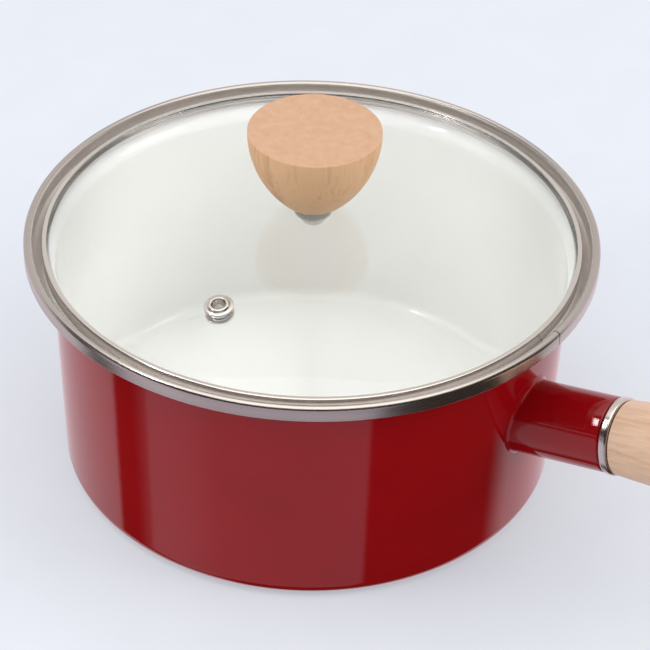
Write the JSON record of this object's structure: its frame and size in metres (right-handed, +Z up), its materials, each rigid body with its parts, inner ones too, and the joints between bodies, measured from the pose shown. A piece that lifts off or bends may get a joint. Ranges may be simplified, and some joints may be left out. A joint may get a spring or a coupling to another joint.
{
  "type": "saucepan with glass lid",
  "caption": "Enamelled saucepan with a stainless rim band, a wooden handle on a steel socket, and a domed glass lid with a wooden knob and steam vent.",
  "frame": {"origin": "centre of the pan's underside, on the surface it stands on", "axes": "+Z up along the pan's axis, +X along the handle, +Y to the left of the handle"},
  "size_m": [0.3522, 0.2, 0.1335],
  "materials": {
    "pan_enamel": "vitreous enamel on steel, glossy red outside and off-white inside",
    "socket_enamel": "glossy red vitreous enamel on steel",
    "rim_steel": "polished stainless strip",
    "anchor_steel": "plain steel",
    "ferrule_steel": "polished stainless",
    "grip_wood": "fine sanded, clear satin lacquer",
    "rod_steel": "zinc plated",
    "end_washer_steel": "polished stainless",
    "eye_steel": "polished stainless",
    "ring_steel": "polished stainless wire",
    "lid_glass": "clear tempered glass",
    "lid_steel": "polished stainless strip",
    "vent_steel": "polished stainless",
    "vent_washer_steel": "plain stainless",
    "knob_wood": "fine sanded, clear satin lacquer",
    "insert_brass": "turned",
    "gasket_silicone": "translucent white silicone",
    "bush_silicone": "translucent white silicone",
    "washer_steel": "plain stainless",
    "screw_steel": "pan head, stainless"
  },
  "bodies": {
    "pan": {"pan_body": "pan_enamel", "rim_band": "rim_steel", "handle_socket": "socket_enamel", "socket_anchor": "anchor_steel", "handle_ferrule": "ferrule_steel", "handle_grip": "grip_wood", "tie_rod": "rod_steel", "end_washer": "end_washer_steel", "hanging_eye": "eye_steel"},
    "ring": {"hanging_ring": "ring_steel"},
    "lid": {"lid_glass": "lid_glass", "lid_band": "lid_steel", "vent_eyelet": "vent_steel", "vent_washer": "vent_washer_steel", "knob": "knob_wood", "knob_insert": "insert_brass", "knob_gasket": "gasket_silicone", "glass_bush": "bush_silicone", "screw_washer": "washer_steel", "knob_screw": "screw_steel"}
  },
  "joints": [
    {"name": "lid_lift", "type": "slide", "parent": "pan", "child": "lid", "axis": [0, 0, 1], "range_m": [0, 0.13]},
    {"name": "ring_swing", "type": "hinge", "parent": "pan", "child": "ring", "pos_m": [0.24446, 0, 0.08093], "axis": [0, -1, 0], "range_deg": [-25, 190]}
  ]
}
